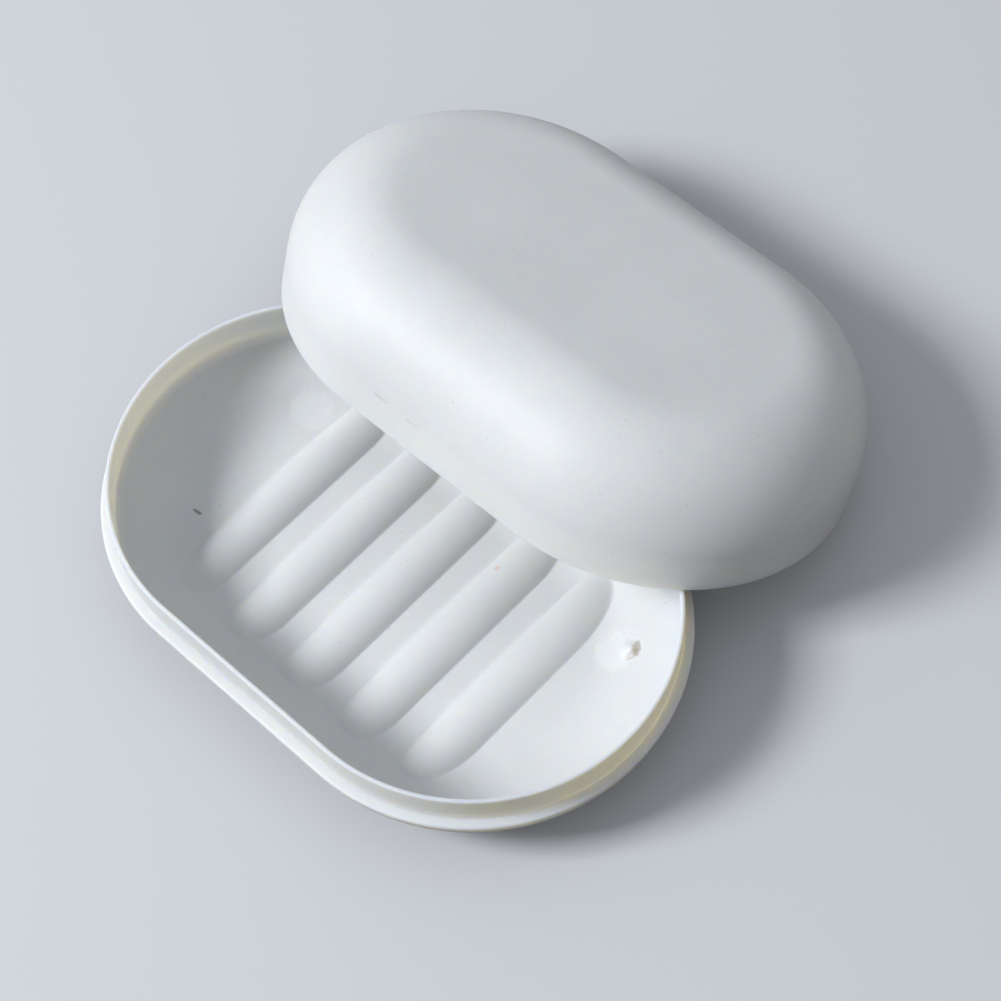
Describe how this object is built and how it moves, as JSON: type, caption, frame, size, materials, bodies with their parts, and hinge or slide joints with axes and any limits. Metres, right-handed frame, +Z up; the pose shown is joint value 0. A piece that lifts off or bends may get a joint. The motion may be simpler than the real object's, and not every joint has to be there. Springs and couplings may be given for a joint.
{
  "type": "travel soap box",
  "caption": "Oblong soap box with round ends: a shallow ribbed tray with an upright lip, and a domed lid that lifts off and leans on the tray.",
  "frame": {"origin": "centre of the underside of the tray, on the table", "axes": "+X along the tray, +Y across it towards the lid that leans on it, +Z up"},
  "size_m": [0.119, 0.1268, 0.0448],
  "materials": {
    "tray_plastic": "satin moulded polypropylene, slightly translucent",
    "lid_plastic": "satin moulded polypropylene, slightly translucent"
  },
  "bodies": {
    "tray": {"soap_tray": "tray_plastic"},
    "lid": {"lid": "lid_plastic"}
  },
  "joints": [
    {"name": "lid_lift", "type": "slide", "parent": "tray", "child": "lid", "axis": [0, 0, 1], "range_m": [0, 0.06]}
  ]
}
